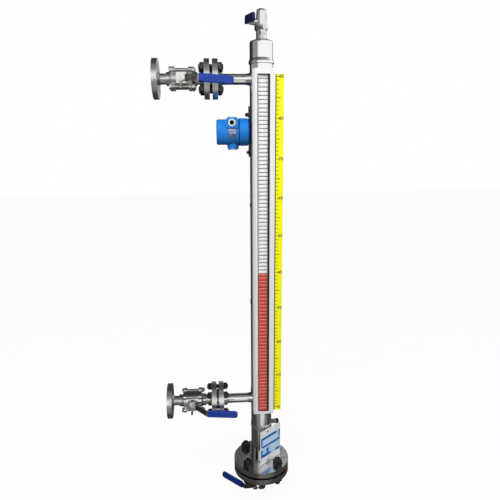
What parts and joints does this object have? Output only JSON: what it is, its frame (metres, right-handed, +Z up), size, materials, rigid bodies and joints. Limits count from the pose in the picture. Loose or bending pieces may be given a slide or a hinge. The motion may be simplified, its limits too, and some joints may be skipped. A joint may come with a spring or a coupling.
{
  "type": "magnetic level gauge",
  "caption": "Tall stainless float chamber with two flanged valves, flap indicator, yellow ruler, blue transmitter head, vent and drain valves.",
  "frame": {"origin": "centre of the lower process flange's raised face", "axes": "+Z up along the chamber, -X out of the process flanges towards the tank, the indicator looks along -Y"},
  "size_m": [0.3605, 0.2063, 1.3775],
  "materials": {
    "chamber_steel": "polished stainless tube with fine round brushing",
    "flange_steel": "turned stainless, bright faces",
    "valve_steel": "cast and machined stainless, satin",
    "dark_bolting": "blackened alloy steel, slightly oily",
    "small_bolts": "plain stainless bolts",
    "strip_steel": "rolled stainless strip",
    "grip_blue": "dipped royal blue vinyl",
    "gasket_grey": "graphite sealing sheet",
    "seat_white": "white sealing plastic",
    "float_metal": "thin drawn metal",
    "magnet_grey": "sintered ring magnet",
    "case_silver": "silver anodised",
    "clear_window": "clear pane",
    "carrier_black": "black channel",
    "flap_red": "red side out",
    "flap_white": "white side out",
    "ruler_yellow": "yellow plate with dark divisions",
    "head_blue": "sky blue powder coat",
    "gland_silver": "plated turned metal",
    "board_green": "bare round board",
    "plate_print": "white and light blue fields without text",
    "rivet_bright": "bright round heads"
  },
  "bodies": {
    "gauge": {"chamber_tube": "chamber_steel", "top_reducer": "chamber_steel", "nozzle_pipes": "chamber_steel", "chamber_flange": "flange_steel", "drain_flange": "flange_steel", "lower_end_flange": "flange_steel", "upper_end_flange": "flange_steel", "valve_side_flanges": "flange_steel", "nozzle_flanges": "flange_steel", "lower_valve_body": "valve_steel", "upper_valve_body": "valve_steel", "valve_end_caps": "valve_steel", "vent_valve_body": "valve_steel", "drain_valve_body": "valve_steel", "vent_nipple": "valve_steel", "drain_nipple": "valve_steel", "vent_plug": "valve_steel", "chamber_studs": "dark_bolting", "chamber_nuts": "dark_bolting", "flange_studs": "dark_bolting", "flange_nuts": "dark_bolting", "valve_body_bolts": "small_bolts", "strap_bands": "strip_steel", "nameplate_clamp": "strip_steel", "transmitter_bracket": "strip_steel", "sensor_tube": "strip_steel", "chamber_gasket": "gasket_grey", "flange_gaskets": "gasket_grey", "valve_seats": "seat_white", "indicator_housing": "case_silver", "indicator_window": "clear_window", "flap_carrier": "carrier_black", "red_flaps": "flap_red", "white_flaps": "flap_white", "scale_plate": "ruler_yellow", "transmitter_body": "head_blue", "transmitter_left_cover": "head_blue", "transmitter_right_cover": "head_blue", "cable_gland": "gland_silver", "transmitter_plug": "gland_silver", "circuit_board": "board_green", "nameplate": "plate_print", "nameplate_rivets": "rivet_bright"},
    "upper_lever": {"upper_ball_stem": "valve_steel", "upper_lever": "strip_steel", "upper_grip": "grip_blue"},
    "lower_lever": {"lower_ball_stem": "valve_steel", "lower_lever": "strip_steel", "lower_grip": "grip_blue"},
    "vent_lever": {"vent_ball_stem": "valve_steel", "vent_lever": "strip_steel", "vent_grip": "grip_blue"},
    "drain_lever": {"drain_ball_stem": "valve_steel", "drain_lever": "strip_steel", "drain_grip": "grip_blue"},
    "float": {"float_shell": "float_metal", "float_magnet": "magnet_grey"},
    "red_flap": {"turning_red_flap": "flap_red"},
    "white_flap": {"turning_white_flap": "flap_white"}
  },
  "joints": [
    {"name": "upper_lever_turn", "type": "hinge", "parent": "gauge", "child": "upper_lever", "pos_m": [0.075, 0, 0.9], "axis": [0, 1, 0], "range_deg": [-5, 85]},
    {"name": "lower_lever_turn", "type": "hinge", "parent": "gauge", "child": "lower_lever", "pos_m": [0.075, 0, 0], "axis": [0, 1, 0], "range_deg": [-5, 85]},
    {"name": "vent_lever_turn", "type": "hinge", "parent": "gauge", "child": "vent_lever", "pos_m": [0.278, 0, 1.0365], "axis": [-0.9903, -0.1392, 0], "range_deg": [0, 90]},
    {"name": "drain_lever_turn", "type": "hinge", "parent": "gauge", "child": "drain_lever", "pos_m": [0.278, 0, -0.293], "axis": [-0.6947, -0.7193, 0], "range_deg": [0, 90]},
    {"name": "float_travel", "type": "slide", "parent": "gauge", "child": "float", "axis": [0, 0, 1], "range_m": [-0.3955, 0.5045]},
    {"name": "red_flap_turn", "type": "hinge", "parent": "gauge", "child": "red_flap", "pos_m": [0.277, -0.0496, 0.3905], "axis": [1, 0, 0], "range_deg": [0, 180]},
    {"name": "white_flap_turn", "type": "hinge", "parent": "gauge", "child": "white_flap", "pos_m": [0.277, -0.0496, 0.4005], "axis": [1, 0, 0], "range_deg": [0, 180]}
  ]
}
